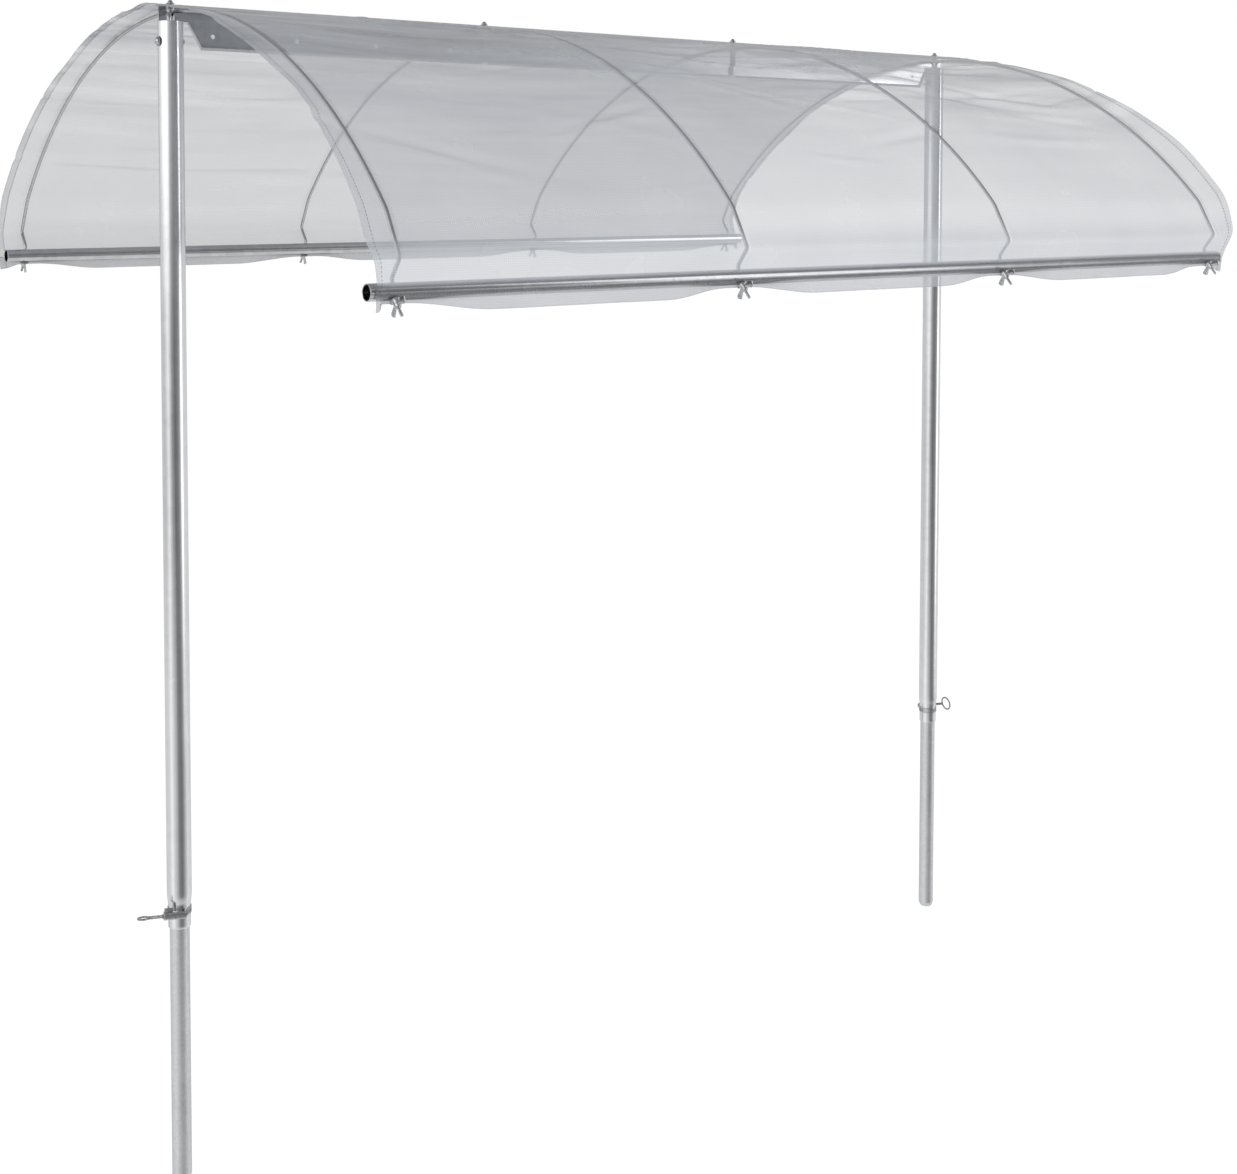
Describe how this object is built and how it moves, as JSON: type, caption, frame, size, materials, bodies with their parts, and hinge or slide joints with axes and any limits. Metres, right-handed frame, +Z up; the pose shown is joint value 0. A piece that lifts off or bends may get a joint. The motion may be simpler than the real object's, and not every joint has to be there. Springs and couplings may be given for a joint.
{
  "type": "tomato rain shelter",
  "caption": "Free-standing plant rain shelter: telescoping posts, a folded ridge and arched hoops carry a clamped film canopy",
  "frame": {"origin": "level with the lower ends of the posts, midway between them", "axes": "+X along the ridge, +Y to the back eaves, +Z up"},
  "size_m": [2.0539, 1.5348, 2.045],
  "materials": {
    "galvanised_tube": "bright galvanised, satin",
    "galvanised_sheet": "galvanised sheet, satin",
    "hoop_rod": "zinc-plated rod, satin",
    "dark_fastener": "dark zinc plating, satin",
    "film": "translucent reinforced film, soft sheen"
  },
  "bodies": {
    "ground_posts": {"lower_post_left": "galvanised_tube", "lower_post_right": "galvanised_tube"},
    "roof": {"canopy": "film", "cap_bolt_1": "dark_fastener", "cap_bolt_2": "dark_fastener", "cap_bolt_3": "dark_fastener", "cap_bolt_4": "dark_fastener", "cap_nut_1": "dark_fastener", "cap_nut_2": "dark_fastener", "cap_nut_3": "dark_fastener", "cap_nut_4": "dark_fastener", "clamp_band_left": "galvanised_sheet", "clamp_band_right": "galvanised_sheet", "clamp_housing_left": "galvanised_sheet", "clamp_housing_right": "galvanised_sheet", "hoop_back_1": "hoop_rod", "hoop_back_2": "hoop_rod", "hoop_back_3": "hoop_rod", "hoop_back_4": "hoop_rod", "hoop_front_1": "hoop_rod", "hoop_front_2": "hoop_rod", "hoop_front_3": "hoop_rod", "hoop_front_4": "hoop_rod", "post_bolt_left": "dark_fastener", "post_bolt_right": "dark_fastener", "post_nut_left": "dark_fastener", "post_nut_right": "dark_fastener", "rail_back": "galvanised_tube", "rail_boss_back_1": "dark_fastener", "rail_boss_back_2": "dark_fastener", "rail_boss_back_3": "dark_fastener", "rail_boss_back_4": "dark_fastener", "rail_boss_front_1": "dark_fastener", "rail_boss_front_2": "dark_fastener", "rail_boss_front_3": "dark_fastener", "rail_boss_front_4": "dark_fastener", "rail_front": "galvanised_tube", "ridge_joint_left": "galvanised_sheet", "ridge_joint_right": "galvanised_sheet", "ridge_section_left": "galvanised_sheet", "ridge_section_middle": "galvanised_sheet", "ridge_section_right": "galvanised_sheet", "upper_post_left": "galvanised_tube", "upper_post_right": "galvanised_tube"},
    "clamp_screw_left": {"clamp_screw_left": "dark_fastener"},
    "clamp_screw_right": {"clamp_screw_right": "dark_fastener"},
    "wing_screw_front_1": {"wing_screw_front_1": "dark_fastener"},
    "wing_screw_front_2": {"wing_screw_front_2": "dark_fastener"},
    "wing_screw_front_3": {"wing_screw_front_3": "dark_fastener"},
    "wing_screw_front_4": {"wing_screw_front_4": "dark_fastener"},
    "wing_screw_back_1": {"wing_screw_back_1": "dark_fastener"},
    "wing_screw_back_2": {"wing_screw_back_2": "dark_fastener"},
    "wing_screw_back_3": {"wing_screw_back_3": "dark_fastener"},
    "wing_screw_back_4": {"wing_screw_back_4": "dark_fastener"}
  },
  "joints": [
    {"name": "height", "type": "slide", "parent": "ground_posts", "child": "roof", "axis": [0, 0, 1], "range_m": [-0.35, 0.4]},
    {"name": "clamp_left_turn", "type": "hinge", "parent": "roof", "child": "clamp_screw_left", "pos_m": [-0.96016, -0.02393, 0.479], "axis": [-0.9205, 0.3907, 0], "continuous": true},
    {"name": "clamp_right_turn", "type": "hinge", "parent": "roof", "child": "clamp_screw_right", "pos_m": [0.96016, 0.02393, 0.479], "axis": [0.9205, -0.3907, 0], "continuous": true},
    {"name": "wing_screw_front_1_turn", "type": "hinge", "parent": "roof", "child": "wing_screw_front_1", "pos_m": [-0.95, -0.7335, 1.5875], "axis": [0, -0.6428, -0.766], "continuous": true},
    {"name": "wing_screw_front_2_turn", "type": "hinge", "parent": "roof", "child": "wing_screw_front_2", "pos_m": [-0.31667, -0.7335, 1.5875], "axis": [0, -0.6428, -0.766], "continuous": true},
    {"name": "wing_screw_front_3_turn", "type": "hinge", "parent": "roof", "child": "wing_screw_front_3", "pos_m": [0.31667, -0.7335, 1.5875], "axis": [0, -0.6428, -0.766], "continuous": true},
    {"name": "wing_screw_front_4_turn", "type": "hinge", "parent": "roof", "child": "wing_screw_front_4", "pos_m": [0.95, -0.7335, 1.5875], "axis": [0, -0.6428, -0.766], "continuous": true},
    {"name": "wing_screw_back_1_turn", "type": "hinge", "parent": "roof", "child": "wing_screw_back_1", "pos_m": [-0.95, 0.7335, 1.5875], "axis": [0, 0.6428, -0.766], "continuous": true},
    {"name": "wing_screw_back_2_turn", "type": "hinge", "parent": "roof", "child": "wing_screw_back_2", "pos_m": [-0.31667, 0.7335, 1.5875], "axis": [0, 0.6428, -0.766], "continuous": true},
    {"name": "wing_screw_back_3_turn", "type": "hinge", "parent": "roof", "child": "wing_screw_back_3", "pos_m": [0.31667, 0.7335, 1.5875], "axis": [0, 0.6428, -0.766], "continuous": true},
    {"name": "wing_screw_back_4_turn", "type": "hinge", "parent": "roof", "child": "wing_screw_back_4", "pos_m": [0.95, 0.7335, 1.5875], "axis": [0, 0.6428, -0.766], "continuous": true}
  ]
}
